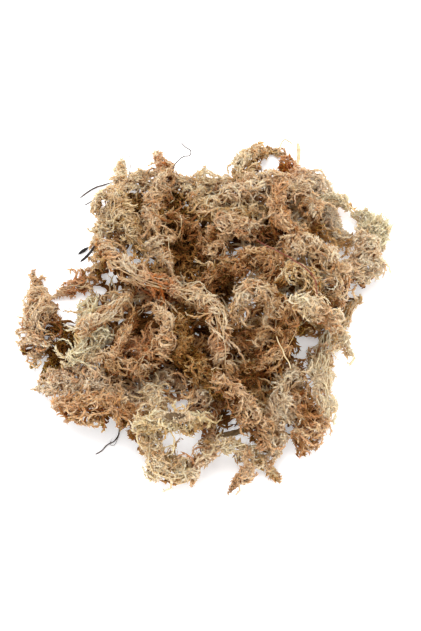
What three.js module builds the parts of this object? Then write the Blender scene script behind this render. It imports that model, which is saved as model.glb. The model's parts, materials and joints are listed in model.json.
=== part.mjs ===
// A loose clump of dried long-fibre sphagnum moss, as it lies on a flat surface.
// Units are millimetres, +Z is up and the origin is under the middle of the clump.
//
// Every moss shoot, stalk, twig and splinter is one closed body. A shoot is a thick tube that
// follows its line over the ground: it stands for the leafy outline of the shoot.
// The pieces are laid one after another, from the bottom of the heap to its top, and each one
// comes down until it rests on the ground or on the pieces laid before it.
import * as THREE from "three";
import { mergeVertices } from "three/addons/utils/BufferGeometryUtils.js";

// How pieces lie on each other
const GAP = 0.15; // clear distance kept between two round outlines; their flat facets add the rest
const SAMPLE_STEP = 2; // distance between the points at which a piece feels for what is below it
const SETTLE = 0.7; // height of a shoot's middle line above the ground, as a share of its radius
const BEND = 2.8; // smallest radius of a shoot's crest, as a multiple of its own radius
const LEAST_BEND = 12; // smallest crest radius of a thin piece
const STEEPEST = 0.62; // steepest slope of a shoot, as rise over run
const STIFF_BEND = 320; // crest radius of a woody piece that hardly bends
const STIFF_SLOPE = 0.16; // steepest slope of a woody piece
const SHOOT_PASSES = 4; // times that the valleys of a shoot's middle line are rounded
const STIFF_PASSES = 40; // the same for a woody piece

// How finely a piece is drawn
const THICK = 4.6; // a shoot of this radius or more gets the finer section
const THICK_SIDES = 8;
const THIN_SIDES = 6;
const RING_SHARE = 0.95; // distance between rings, as a share of the mean radius
const LEAST_RING_STEP = 4;
const MOST_RING_STEP = 6.5;
const CAP_RINGS = 2; // rings on each rounded end, between its tip and the full section

// Finish of each kind of material
const FINISHES = {
  pale_straw_moss: { color: 0xd2b68a, roughness: 0.9 },
  golden_moss: { color: 0xc39a5c, roughness: 0.9 },
  pink_brown_moss: { color: 0xb98d6b, roughness: 0.9 },
  rust_moss: { color: 0x9a5f3a, roughness: 0.92 },
  dark_brown_moss: { color: 0x553420, roughness: 0.95 },
  green_head_moss: { color: 0xbfb274, roughness: 0.9 },
  wiry_stalk: { color: 0x57493f, roughness: 0.6 },
  straw_stalk: { color: 0xd8c39c, roughness: 0.7 },
  twig_bark: { color: 0x6d5a3c, roughness: 0.8 },
  charred_bark: { color: 0x2a1e1a, roughness: 0.85 },
};

// The pieces, from the bottom of the heap to the top. A path lists the points [x, y, radius]
// that the middle line passes over, seen from above; the tube is as thick as the radius says.
const PIECES = [
  // stalks and a twig that lie under the edge of the heap
  { name: "wiry_stalk_west", finish: "wiry_stalk", stiff: true,
    path: [[-71, 83, 0.5], [-65, 88, 0.5], [-61, 92, 0.5], [-56, 93, 0.5], [-51, 92, 0.5],
      [-44, 86, 0.5]] },
  { name: "wiry_stalk_south", finish: "wiry_stalk", stiff: true,
    path: [[-46, -40.7, 0.6], [-47, -53, 0.6], [-50, -62, 0.6], [-55, -67, 0.6], [-60.5, -71, 0.6]] },
  { name: "twig", finish: "twig_bark", stiff: true,
    path: [[1, -62, 1.5], [11, -60, 1.6], [23, -56.5, 1.4]] },

  // matted shoots of the underside
  { name: "base_shoot_southwest", finish: "pink_brown_moss",
    path: [[-52, -36, 6], [-38, -33, 8], [-22, -36, 8.5], [-5, -35, 8.5], [10, -40, 7]] },
  { name: "base_shoot_west", finish: "rust_moss",
    path: [[-48, -15, 7], [-35, -18, 9], [-20, -15, 9], [-6, -13, 9], [6, -15, 7]] },
  { name: "base_shoot_middle", finish: "rust_moss",
    path: [[-50, 19, 6.5], [-36, 19, 8.5], [-20, 15, 8.5], [-6, 11, 8.5], [7, 9, 6.5]] },
  { name: "base_shoot_hollow", finish: "dark_brown_moss",
    path: [[-49, 56, 6.5], [-45, 67, 8], [-40, 79, 6.5]] },
  { name: "base_shoot_northwest", finish: "dark_brown_moss",
    path: [[-21, 80, 7], [-19, 67, 9.5], [-16, 53, 9.5], [-14, 40, 9], [-12, 31, 6.5]] },
  { name: "base_shoot_north", finish: "dark_brown_moss",
    path: [[3, 78, 6.5], [4, 65, 9], [4, 50, 9], [6, 35, 9], [10, 25, 7]] },
  { name: "base_shoot_northeast", finish: "rust_moss",
    path: [[26, 80, 6.5], [26, 67, 9.5], [28, 51, 9.5], [33, 36, 9], [37, 24, 7]] },
  { name: "base_shoot_east", finish: "dark_brown_moss",
    path: [[50, 79, 6.5], [53, 66, 9], [56, 50, 9.5], [58, 34, 9.5], [57, 18, 8.5], [54, 6, 6.5]] },
  { name: "base_shoot_southeast", finish: "dark_brown_moss",
    path: [[30, 8, 7], [26, -7, 8.5], [24, -22, 8.5], [27, -37, 8.5], [29, -52, 6.5]] },
  { name: "base_shoot_brown", finish: "dark_brown_moss",
    path: [[44, -4, 6], [44, -17, 7.5], [45, -30, 7.5], [50, -41, 7], [52, -49, 5.5]] },

  // shoots on the ground around the edge
  { name: "left_tuft", finish: "pink_brown_moss",
    path: [[-98, 36, 1.2], [-97, 26, 4.5], [-93, 13, 9.5], [-92.4, 0, 11], [-95, -10, 8]] },
  { name: "dark_wad", finish: "dark_brown_moss",
    path: [[-75.5, -6, 5.5], [-78.5, -15, 8], [-86.5, -26, 5.5]] },
  { name: "rust_tuft", finish: "rust_moss",
    path: [[-82, 25, 2.5], [-76, 28, 5.2], [-69, 32, 5.8], [-64, 36, 4.5]] },
  { name: "edge_shoot_west", finish: "golden_moss",
    path: [[-60, 36, 5], [-62, 48, 5.6], [-58, 61, 5.6], [-54, 75, 5.4], [-50, 88, 4.6], [-51, 99, 3.2],
      [-50, 110, 1.6]] },
  { name: "ridge_shoot_north", finish: "rust_moss",
    path: [[-43, 91, 4.5], [-33, 94, 5.6], [-22, 92, 5.6], [-11, 89, 5.6], [1, 89, 5.6], [11, 87, 5.4],
      [19, 89, 4]] },
  { name: "arch_shoot", finish: "golden_moss",
    path: [[20, 82, 5], [20, 95, 6.2], [26, 109, 5.2], [33, 118, 3], [40, 118, 1.7], [45, 114, 1.4]] },
  { name: "arch_rust_shoot", finish: "rust_moss",
    path: [[46, 110, 3.4], [47, 102, 4.8], [44, 94, 5], [38, 88, 4]] },
  { name: "forked_stalk", finish: "straw_stalk",
    path: [[53, 122, 1.9], [53, 114, 1.7], [52, 107, 1.2]] },
  { name: "shoulder_shoot", finish: "pink_brown_moss",
    path: [[47, 90, 5], [58, 94, 6], [66, 88, 6], [70, 77, 5.6], [71, 68, 5], [74, 62, 4],
      [80, 60, 3], [87, 60, 2]] },
  { name: "headed_shoot", finish: "green_head_moss",
    path: [[62, 79, 2.4], [70, 80, 2.6], [77, 79, 2.8], [84, 74, 3.2], [90, 71, 4], [94, 69, 6.4],
      [96, 63, 7.8], [95, 56, 6]] },
  { name: "right_lobe_shoot", finish: "pale_straw_moss",
    path: [[72.4, 30, 6.5], [83, 32, 9], [92, 39, 9], [90, 49, 7]] },
  { name: "lobe_shoot_pink", finish: "pink_brown_moss",
    path: [[-86.5, -35.5, 5.5], [-76, -35, 8.5], [-64, -34, 9], [-53, -41, 7.5], [-43, -50, 5.5]] },
  { name: "lobe_shoot_rust", finish: "rust_moss",
    path: [[-76, -50, 6], [-67, -55, 8], [-56, -54, 8], [-46, -56, 6], [-39, -62, 5.5],
      [-36, -70, 3.4]] },
  { name: "loop_shoot", finish: "golden_moss",
    path: [[-30, -42, 5.4], [-27, -52, 5.6], [-28, -63, 5.6], [-30, -74, 6], [-27, -84, 7.4],
      [-18, -87, 8], [-10, -83, 5.4]] },
  { name: "hanging_shoot", finish: "pink_brown_moss",
    path: [[-8, -39, 5.4], [-3, -48, 5.6], [0, -58, 5.6], [1, -68, 4.6], [0, -77, 3.6], [-6, -84, 3],
      [-7, -92, 1.5]] },
  { name: "bottom_shoot", finish: "golden_moss",
    path: [[6, -72, 3.8], [14, -74, 4.4], [24, -76, 4.6], [31, -80, 3], [36, -84, 1.4]] },
  { name: "hooked_shoot", finish: "pink_brown_moss",
    path: [[21, -81, 3.4], [21, -87, 4], [17, -92, 3.2], [13, -95, 1.7]] },
  { name: "rust_wad", finish: "rust_moss",
    path: [[54, -53, 6.5], [56, -61, 8.2], [53, -68, 6.6]] },
  { name: "fluffy_shoot", finish: "pale_straw_moss",
    path: [[47, -32, 5.5], [41, -44, 7], [38, -57, 7.2], [35, -68, 6.4], [34, -75, 3.6]] },
  { name: "right_shoot", finish: "golden_moss",
    path: [[85, 21, 1.3], [79, 14, 2.8], [73, 3, 4.6], [67, -9, 6.4], [62, -21, 7], [61, -34, 6.6],
      [62.4, -46, 5.8], [65, -57, 4.4]] },

  // shoots of the upper layer
  { name: "spur_shoot", finish: "golden_moss",
    path: [[-64, 70, 2], [-62, 76, 3], [-56, 78, 3.6], [-50, 73, 4.6], [-47, 64, 5.6], [-42, 55, 5.8],
      [-37, 48, 4.5]] },
  { name: "gap_shoot", finish: "golden_moss",
    path: [[-58, 37, 4.6], [-48, 31, 6], [-37, 29, 6], [-25, 32, 5]] },
  { name: "tall_pale_shoot", finish: "pale_straw_moss",
    path: [[-30, 108, 1.5], [-27, 101, 2.8], [-23, 92, 4.6], [-27, 81, 6], [-31, 71, 6.8], [-30, 60, 6.8],
      [-27, 48, 6.4], [-24, 38, 4.6]] },
  { name: "north_gold_shoot", finish: "golden_moss",
    path: [[-4, 86, 5], [-6, 77, 5.8], [-1, 68, 6.2], [9, 64, 6.6], [19, 64, 6.2], [28, 67, 5]] },
  { name: "north_grey_shoot", finish: "pale_straw_moss",
    path: [[12, 76, 5], [24, 78, 6.4], [36, 82, 6.6], [47, 82, 6.4], [56, 77, 6], [60, 68, 5.4]] },
  { name: "comb_shoot", finish: "pale_straw_moss",
    path: [[-22, 63, 2.8], [-14, 59, 3.8], [-6, 54, 4.2], [-3, 44, 3.4]] },
  { name: "inner_brown_shoot", finish: "pink_brown_moss",
    path: [[5, 40, 5], [6, 50, 5.8], [14, 54, 6], [24, 51, 5.8], [33, 55, 4.6]] },
  { name: "rust_curl_shoot", finish: "rust_moss",
    path: [[41, 75, 4.6], [38, 65, 5.8], [41, 54, 6], [50, 49, 4.6]] },
  { name: "broad_curl_shoot", finish: "pale_straw_moss",
    path: [[40, 27, 5], [44, 36, 6.2], [53, 40, 6.6], [63, 36, 6.6], [71, 28, 6.2], [73, 18, 5.6],
      [69, 10, 4]] },
  { name: "knot_shoot", finish: "pale_straw_moss",
    path: [[-1, 14, 4], [1, 24, 5.4], [9, 30, 5.8], [18, 27, 5.6], [26, 32, 5.6], [34, 30, 5.6],
      [37, 21, 5.2], [31, 12, 4]] },
  { name: "ring_shoot", finish: "pale_straw_moss",
    path: [[15, -4, 4.4], [18, 6, 5.4], [28, 9, 5.8], [36, 1, 5.8], [35, -10, 5.8], [25, -15, 5.4],
      [16, -14, 4]] },
  { name: "hook_curl_shoot", finish: "golden_moss",
    path: [[43, 16, 4.6], [50, 21, 5.4], [57, 13, 5.4], [55, 3, 5.4], [49, -5, 4]] },
  { name: "sweeping_shoot", finish: "pale_straw_moss",
    path: [[3, -26, 4], [14, -32, 5.2], [27, -32, 5.4], [39, -24, 5.2], [44, -12, 5], [41, -2, 3.6]] },
  { name: "crossing_shoot", finish: "golden_moss",
    path: [[49, -4, 4.6], [58, -6, 5.6], [67, -11, 4.6], [73, -17, 2.8], [76, -25, 1.5]] },
  { name: "inner_gold_shoot", finish: "golden_moss",
    path: [[-16, 2, 5], [-13, -8, 6.4], [-14, -19, 6.4], [-9, -30, 5.8], [0, -38, 5.2], [8, -44, 4.4]] },
  { name: "south_brown_shoot", finish: "pink_brown_moss",
    path: [[7, -44, 4.2], [14, -50, 5.4], [21, -57, 5.8], [27, -65, 5.4], [29, -72, 3.4]] },
  { name: "curled_pale_shoot", finish: "pale_straw_moss",
    path: [[-27, 1, 3.4], [-22, -9, 4.4], [-24, -20, 4.8], [-32, -28, 5.2], [-43, -31, 5.6],
      [-54, -29, 4.6]] },
  { name: "comb_yellow_shoot", finish: "green_head_moss",
    path: [[-66, 17, 5], [-65, 5, 7.4], [-62, -8, 8.4], [-66, -19, 6.4], [-74, -25, 4]] },
  { name: "forked_pale_shoot", finish: "pale_straw_moss",
    path: [[-44, 19, 3.4], [-48, 7, 4.2], [-54, -2, 4.4], [-62, -7, 4.4], [-70, -13, 3.4]] },
  { name: "slim_pale_shoot", finish: "pale_straw_moss",
    path: [[-38, 11, 2.4], [-42, 1, 3], [-45, -9, 3], [-48, -19, 2.8], [-50, -28, 2.2]] },
  { name: "south_pale_shoot", finish: "green_head_moss",
    path: [[-35, -68, 4], [-25, -67, 5.6], [-14, -66, 5.6], [-4, -63, 4.6]] },
  { name: "great_pale_shoot", finish: "pale_straw_moss",
    path: [[-60, 42, 3.4], [-50, 29, 5.2], [-34, 21, 6], [-16, 16, 6.2], [-2, 8, 6.2], [5, -4, 6],
      [7, -18, 5.6], [9, -31, 4]] },

  // stalks and bark on top of the heap
  { name: "wiry_stalk_north", finish: "wiry_stalk", stiff: true,
    path: [[-15, 110, 0.5], [-10, 105, 0.5], [-8, 102.3, 0.5], [-13, 101, 0.5], [-18, 97, 0.5],
      [-20, 91, 0.5]] },
  { name: "red_stalk", finish: "wiry_stalk", stiff: true,
    path: [[27, 37, 0.5], [38, 30, 0.6], [49, 23, 0.7], [57, 14, 0.7], [60, 0, 0.6]] },
  { name: "straw_stalk", finish: "straw_stalk", stiff: true,
    path: [[37, -19, 0.5], [40, -27, 0.6], [44, -37, 0.6]] },
  { name: "bark_splinter", finish: "charred_bark", stiff: true,
    path: [[-71, 38, 0.9], [-67, 42, 1.1], [-64, 47, 0.8]] },
  { name: "bark_flake", finish: "twig_bark", stiff: true,
    path: [[-21, -66.5, 1.5], [-16, -66.3, 1.7], [-13, -66, 1.4]] },
];

// Points along a piece's plan line, evenly spaced: x and y are the place, z holds the radius.
function planPoints(piece) {
  const corners = piece.path.map(([x, y, radius]) => new THREE.Vector3(x, y, radius));
  const line = new THREE.CatmullRomCurve3(corners, false, "centripetal");
  const count = Math.max(2, Math.round(line.getLength() / SAMPLE_STEP));
  return line.getSpacedPoints(count);
}

// Height that a point of the new piece needs to clear the ground and every point already laid:
// two round outlines touch when their middles are as far apart as their radii added together.
function leastHeight(point, laidPoints) {
  let height = SETTLE * point.z;
  for (const laid of laidPoints) {
    const reach = point.z + laid.radius + GAP;
    const apart = (point.x - laid.x) ** 2 + (point.y - laid.y) ** 2;
    if (apart < reach * reach) height = Math.max(height, laid.z + Math.sqrt(reach * reach - apart));
  }
  return height;
}

// Fall of a middle line at a distance from a point that holds it up: a parabola of the crest
// radius near that point, then a straight slope.
function fall(distance, crestRadius, slope) {
  const turn = crestRadius * slope;
  if (distance < turn) return distance ** 2 / (2 * crestRadius);
  return slope * (distance - turn / 2);
}

// Heights of a piece's middle line: what holds it up at each point, the crests between, and
// valleys that are rounded by raising them towards the mean of their neighbours.
function settledHeights(points, laidPoints, stiff) {
  const thickest = Math.max(...points.map((point) => point.z));
  const crestRadius = stiff ? STIFF_BEND : Math.max(LEAST_BEND, BEND * thickest);
  const slope = stiff ? STIFF_SLOPE : STEEPEST;
  const held = points.map((point) => leastHeight(point, laidPoints));
  const step = points[0].distanceTo(points[1]);
  let heights = points.map((_, here) =>
    Math.max(...held.map((height, there) =>
      height - fall(Math.abs(here - there) * step, crestRadius, slope))));
  const passes = stiff ? STIFF_PASSES : SHOOT_PASSES;
  for (let pass = 0; pass < passes; pass += 1) {
    heights = heights.map((height, index) => {
      if (index === 0 || index === heights.length - 1) return height;
      return Math.max(height, (heights[index - 1] + heights[index + 1]) / 2);
    });
  }
  return heights;
}

// Stations of the rings along a piece: middle, direction and radius of each, with the two
// rounded ends drawn as quarter circles past the first and the last point.
function ringStations(middles, radii) {
  const last = middles.length - 1;
  const meanRadius = radii.reduce((sum, radius) => sum + radius, 0) / radii.length;
  const ringStep = THREE.MathUtils.clamp(RING_SHARE * meanRadius, LEAST_RING_STEP, MOST_RING_STEP);
  const rings = Math.max(2, Math.round((last * SAMPLE_STEP) / ringStep));
  const direction = (index) =>
    middles[Math.min(index + 1, last)].clone().sub(middles[Math.max(index - 1, 0)]).normalize();
  const stations = [];
  const addCap = (index, sign) => {
    for (let ring = 0; ring <= CAP_RINGS; ring += 1) {
      const turn = (ring / (CAP_RINGS + 1)) * (Math.PI / 2);
      const along = direction(index);
      const middle = middles[index].clone().addScaledVector(along, sign * radii[index] * Math.cos(turn));
      stations.push({ middle, along, radius: radii[index] * Math.sin(turn) });
    }
  };
  addCap(0, -1);
  for (let ring = 0; ring <= rings; ring += 1) {
    const index = Math.round((ring / rings) * last);
    stations.push({ middle: middles[index], along: direction(index), radius: radii[index] });
  }
  const endCap = stations.length;
  addCap(last, 1);
  return [...stations.slice(0, endCap), ...stations.slice(endCap).reverse()];
}

// A closed tube: a sphere's rings are carried to the stations, so its poles close both ends.
// Each ring has a corner straight above and straight below its middle, and what would lie
// under the ground is flattened onto it.
function tubeGeometry(stations, sides) {
  const sphere = new THREE.SphereGeometry(1, sides, stations.length - 1);
  const position = sphere.getAttribute("position");
  const uv = sphere.getAttribute("uv");
  const upright = new THREE.Vector3(0, 0, 1);
  for (let vertex = 0; vertex < position.count; vertex += 1) {
    const column = Math.round(uv.getX(vertex) * sides) % sides;
    const row = Math.round((1 - uv.getY(vertex)) * (stations.length - 1));
    const { middle, along, radius } = stations[row];
    const side = new THREE.Vector3().crossVectors(along, upright).normalize();
    const up = new THREE.Vector3().crossVectors(side, along);
    const turn = Math.PI / 2 + (column / sides) * 2 * Math.PI;
    const spot = middle.clone()
      .addScaledVector(side, radius * Math.cos(turn))
      .addScaledVector(up, radius * Math.sin(turn));
    position.setXYZ(vertex, spot.x, spot.y, Math.max(spot.z, 0));
  }
  sphere.deleteAttribute("normal");
  sphere.deleteAttribute("uv");
  return mergeVertices(sphere);
}

function finishMaterial(name) {
  return new THREE.MeshStandardMaterial({ name, metalness: 0, ...FINISHES[name] });
}

const clump = new THREE.Group();
const laidPoints = [];
for (const piece of PIECES) {
  const points = planPoints(piece);
  const heights = settledHeights(points, laidPoints, piece.stiff);
  const radii = points.map((point) => point.z);
  const middles = points.map((point, index) => new THREE.Vector3(point.x, point.y, heights[index]));
  middles.forEach(({ x, y, z }, index) => laidPoints.push({ x, y, z, radius: radii[index] }));
  const sides = Math.max(...radii) >= THICK ? THICK_SIDES : THIN_SIDES;
  const mesh = new THREE.Mesh(tubeGeometry(ringStations(middles, radii), sides),
    finishMaterial(piece.finish));
  mesh.name = piece.name;
  clump.add(mesh);
}

// The origin goes under the middle of the clump's box, on the ground.
const box = new THREE.Box3().setFromObject(clump);
const middle = box.getCenter(new THREE.Vector3());
for (const mesh of clump.children) mesh.position.set(-middle.x, -middle.y, -box.min.z);

export default clump;
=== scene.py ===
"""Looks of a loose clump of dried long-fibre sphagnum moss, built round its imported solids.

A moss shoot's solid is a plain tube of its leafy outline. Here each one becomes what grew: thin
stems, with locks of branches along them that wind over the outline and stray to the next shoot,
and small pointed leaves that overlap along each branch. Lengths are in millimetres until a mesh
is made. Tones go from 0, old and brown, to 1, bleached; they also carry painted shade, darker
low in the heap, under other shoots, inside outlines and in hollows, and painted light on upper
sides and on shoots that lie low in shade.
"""
import json
import math

import bpy
import numpy as np
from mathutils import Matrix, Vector


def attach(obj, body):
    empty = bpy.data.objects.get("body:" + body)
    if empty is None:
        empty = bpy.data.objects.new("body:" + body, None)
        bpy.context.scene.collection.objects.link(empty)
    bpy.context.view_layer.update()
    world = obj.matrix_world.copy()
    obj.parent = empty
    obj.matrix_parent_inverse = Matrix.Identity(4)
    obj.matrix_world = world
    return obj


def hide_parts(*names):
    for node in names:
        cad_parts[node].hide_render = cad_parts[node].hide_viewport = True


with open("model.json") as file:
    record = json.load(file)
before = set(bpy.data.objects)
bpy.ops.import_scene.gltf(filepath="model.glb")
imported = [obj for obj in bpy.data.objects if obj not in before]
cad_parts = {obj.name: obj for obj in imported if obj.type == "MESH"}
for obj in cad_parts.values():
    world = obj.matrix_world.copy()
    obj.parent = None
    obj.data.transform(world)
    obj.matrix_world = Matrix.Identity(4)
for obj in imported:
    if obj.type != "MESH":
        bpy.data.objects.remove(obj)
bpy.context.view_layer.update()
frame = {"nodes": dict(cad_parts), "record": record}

MM = 0.001
BODY = "root"
TURN = 2 * math.pi
GOLDEN_ANGLE = 2.39996
UPWARDS = (0.0, 0.0, 1.0)
ODD_WAY = (0.31, 0.17, 0.93)  # a direction that no branch starts along
FIRST_SEED, FALLEN_SEED, SLIVER_SEED, BED_SEED = 400, 399, 398, 397

# Branches and leaves
BRANCH_WIDTH = 2.3  # with its leaves
CORE_RADIUS = 0.45  # of a branch under its leaves
BARE_RADIUS = 0.95  # of a shrivelled branch, its leaves stuck down
FALLEN_RADIUS = 1.2  # of a bare branch on the ground, its leaves pressed flat
STEM_RADIUS = 0.55
TWO_STEM_RADIUS = 4.0  # of a shoot, from which on it has two stems
LEAF_LENGTH = 2.6
LEAF_WIDTH = 1.5
LEAVES = 11  # on each leafy branch
LEAF_STEP = 0.4 * TURN  # round the branch from leaf to leaf
KEEL_PLACE, KEEL_HEIGHT = 0.35, 0.22  # as shares of a leaf's length and width
HEAD_BRANCHES = 300
HEAD_ENDS, HEAD_SIDES = 4.0, 0.6  # how far the head stands out from its solid
ROUGH = 0.16  # unevenness of a branch's thickness, as a share of it
CRINKLE = 0.2  # how far the places along a branch lie off its smooth course
FLOOR_CLEAR = 0.1  # under the lowest branch
LOWEST = 0.02  # height of the lowest corner

# How branches run
LOCK = 5  # branches that lie side by side in one lock
LOCK_STEP = 0.78 * BRANCH_WIDTH  # from one of them to the next
FLOW = ((23.0, 1, 0.8), (13.0, -1, 0.5))  # waves of their headings: length, way round, radians
SHORTEST, LONGER = 3.5, 2.2  # length on a thin shoot, and more for each millimetre of its radius
RISING, RISE_ANGLE = 0.35, 1.15  # share of its length over which a branch rises, and how steeply
HOLD = 0.45  # how far of the way back to the outline each step takes it
DROOP, CLIMB = 0.45, 0.5  # most that a stray drops or rises for each millimetre of its length
LUMPS = (11.0, 17.0, 26.0)  # wavelengths of an outline's swellings
LUMP_SHARE = 0.16  # height of each, as a share of the radius
FIBRE_TURN = 0.45  # radians that a long bare stem swings round its shoot

# The heap, and where loose branches may lie in it
SAG = 0.9  # how far a loose branch drops for each millimetre beyond a shoot
LEAST_TOP = 0.5  # height at which a loose branch lies where no shoot is near
GRID = 2.0  # squares on which the heap's level is found
LEVEL_WIDTH = 6.0  # how far round a place its level is averaged
MARGIN = 30.0  # of the grid round the heap
DEEP = 10.0  # under the level, from which on covered strays are bare
BESIDE = 6.0  # how far beyond a shoot a branch may reach amid shoots
ROUND_REACH = 22.0  # how far off those may be
GAP_HEIGHT = 14.0  # under which a branch would close a gap
FALLEN_GRID = 2.0  # squares of ground with one fallen branch each
FALLEN_REACH = 16.0  # how far off the shoots round one may be
FALLEN_BESIDE = 12.0  # how far beyond them one may lie in a hollow or a filled place
PLACE_EDGE = 1.7  # how many of its radii such a place reaches

# Tones, and what shifts them
STEM_TONE, FIBRE_TONE, SHOOT_TONE = 0.45, 0.78, 0.64
HEAD_TONE, BED_TONE, FALLEN_TONE = 0.62, 0.7, 0.52
LOCK_SHIFT = 0.12  # from lock to lock
UNDER_PAINTED_SHADE, FALLEN_UNDER_PAINTED_SHADE = 0.034, 0.027  # painted shade: darker, for each millimetre under the level
UNDER_RANGE = (-8, 14)  # of the millimetres that count
COVERED_PAINTED_SHADE = 0.12  # painted shade: darker, under another shoot
FACING_PAINTED_LIGHT = 0.1  # painted light: paler, on the upper side
TIP_SHIFT = 0.08  # paler, towards the tip
INSIDE_AGE_AND_PAINTED_SHADE = 0.5  # darker, inside the outline: partly older brown moss, partly painted shade
FILLED_SHIFT = 0.36  # paler, in FILLED places
LEAF_SHIFTS = (-0.04, -0.04, 0.02, 0.06)  # at the corners of a leaf's foot, its keel and its tip
HOLLOW_PAINTED_SHADE_TONE = 0.0  # painted shade: tone of the moss at the bottom of a hollow
HOLLOW_PAINTED_SHADE_SHARE = 0.95  # how far a shoot's own tone goes to the painted hollow shade

# Sides of each kind of tube, and steps along it
BRANCH_SIDES, FIBRE_SIDES, THREAD_SIDES, STEM_SIDES, SLIVER_SIDES, BARK_SIDES = 3, 4, 5, 6, 10, 14
LEAFY_STEPS, BARE_STEPS, FIBRE_STEPS = 8, 5, 18
LEAFY_PLACES = np.linspace(0, 1, LEAFY_STEPS + 1)  # as shares of a branch's length

# ---- how each shoot has dried
# length: of its branches. lean: 0 sets off round the shoot, 1 along it. wind: radians that a
# branch turns from foot to tip. wave: how it rises and falls. tufts: share of locks that stand
# off. strays: share of branches that leave for the neighbours. stems: long bare ones over the
# outline. cover: how densely it is clothed. spread: tilt of the leaves, in radians.
HABIT_VALUES = ("length", "lean", "wind", "wave", "tufts", "strays", "stems", "cover", "spread")
HABITS = {name: dict(zip(HABIT_VALUES, values)) for name, values in {
    "loose": (9.5, 0.6, 5.5, 0.28, 0.14, 0.13, 1, 3.0, 0.4),
    "curled": (10.0, 0.75, 6.5, 0.25, 0.1, 0.1, 2, 3.0, 0.4),
    "ropy": (12.0, 0.92, 2.0, 0.2, 0.04, 0.04, 6, 2.9, 0.35),
    "spray": (7.5, 0.92, 1.2, 0.2, 0.0, 0.0, 16, 2.5, 0.28),
    "comb": (11.0, 0.2, 2.2, 0.25, 0.08, 0.1, 3, 2.8, 0.4),
    "shaggy": (9.0, 0.5, 5.0, 0.45, 0.25, 0.13, 1, 2.9, 0.4),
    "mat": (9.5, 0.5, 4.5, 0.4, 0.05, 0.35, 0, 1.9, 0.4),
    "wad": (9.5, 0.6, 5.5, 0.28, 0.05, 0.03, 0, 3.6, 0.4),
}.items()}
SHOOTS_BY_HABIT = {
    "wad": ("dark_wad",), "spray": ("right_shoot",),
    "ropy": ("slim_pale_shoot", "great_pale_shoot", "forked_pale_shoot"),
    "comb": ("comb_shoot", "comb_yellow_shoot"),
    "shaggy": ("fluffy_shoot", "lobe_shoot_pink", "lobe_shoot_rust"),
    "curled": ("ring_shoot", "knot_shoot", "sweeping_shoot", "broad_curl_shoot", "hook_curl_shoot",
               "curled_pale_shoot", "left_tuft"),
}
# How far each shoot's tone shifts: partly how it has bleached or browned, partly painted light
# on shoots that lie low in shade (most of all whitened) and painted shade on some in hollows
SHADES = {"whitened": 0.8, "bleached": 0.5, "pale": 0.2, "plain": 0.0, "tan": -0.14, "brown": -0.3,
          "dark": -0.48}
SHOOTS_BY_SHADE = {
    "whitened": ("shoulder_shoot", "base_shoot_east", "base_shoot_middle", "base_shoot_northeast"),
    "bleached": ("right_shoot", "base_shoot_southwest", "base_shoot_southeast", "rust_tuft",
                 "comb_yellow_shoot", "ridge_shoot_north", "headed_shoot"),
    "pale": ("base_shoot_hollow", "base_shoot_north", "base_shoot_west", "base_shoot_brown",
             "hanging_shoot", "fluffy_shoot", "edge_shoot_west", "right_lobe_shoot",
             "lobe_shoot_pink", "loop_shoot", "bottom_shoot", "crossing_shoot"),
    "tan": ("base_shoot_northwest", "lobe_shoot_rust", "curled_pale_shoot", "hook_curl_shoot",
            "hooked_shoot", "inner_brown_shoot", "rust_curl_shoot", "slim_pale_shoot", "gap_shoot"),
    "brown": ("comb_shoot", "knot_shoot", "sweeping_shoot", "south_brown_shoot"),
    "dark": ("dark_wad", "inner_gold_shoot"),
}
HABIT_OF, SHADE_OF = ({name: kind for kind, shoots in groups.items() for name in shoots}
                      for groups in (SHOOTS_BY_HABIT, SHOOTS_BY_SHADE))

# Iron-stained places: x, y, radius and strength
RUST_SPOTS = (
    (-29, 6, 7, 0.6), (-23, 1, 6, 0.6), (-28, 2, 9, 0.5), (-37, -31, 11, 0.7), (6, -35, 6, 0.7),
    (64, -26, 7, 0.7), (-25, 85, 9, 0.6), (-10, 52, 8, 0.4), (40, 50, 12, 0.15),
    (-70, -50, 14, 0.1), (55, -60, 9, 0.3), (46, 88, 11, 1.0), (-75, 14, 10, 0.6),
    (66, 66, 6, 0.3), (76, 64, 7, 0.3), (85, 59, 5, 0.3),
)
# Deep hollows, where the moss is darkened with painted shade: x, y and radius
PAINTED_SHADE_HOLLOWS = (
    (-41, 61, 6), (-21, 60, 7), (-14, 47, 7), (-16, 32, 7), (5, 12, 5), (-36, -13, 7), (-4, -16, 6),
    (-6, -40, 5), (22, -26, 5), (23, -46, 7), (60, 43, 6), (36, 20, 5), (36, 36, 4), (7, 8, 5),
    (42, -29, 5), (36, -36, 4), (-14, -5, 4), (-14, -43, 5), (9, -64, 5), (-80, -10, 4),
)
# Places where loose leafy branches lie low between the shoots: x, y and radius
FILLED = ((62, 46, 6), (70, 44, 6), (76, 41, 5), (16, 14, 6), (62, -9, 6), (-66, 22, 4))
# Places where the ground shows between shoots: x, y and radius
GAPS = (
    (-33, 42, 4), (-18, -56, 8), (-69, -31, 5), (-67, 23, 3), (-56, 28, 8), (-78, 3, 8),
    (53, -25, 7), (80, 57, 7), (36, 92, 10), (-11, -84, 10), (14, -78, 7), (4, -94, 9),
    (76, -34, 7), (46, -84, 7),
)

# ---- stalks and bark
WIRY, STRAW = STALK_SLOTS = ("wiry_stalk", "straw_stalk")
BARK_SLOTS = ("twig_bark", "charred_bark")
STALK_STEP, STALK_BEND = 4.0, 0.5  # from kink to kink, and how far each lies off the line
# Thickness of each stalk as a share of its solid's, and how strongly it is stained
PLAIN_STALK = (0.6, 0.0)
STALK_LOOK = {"red_stalk": (0.45, 0.85)}
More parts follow.
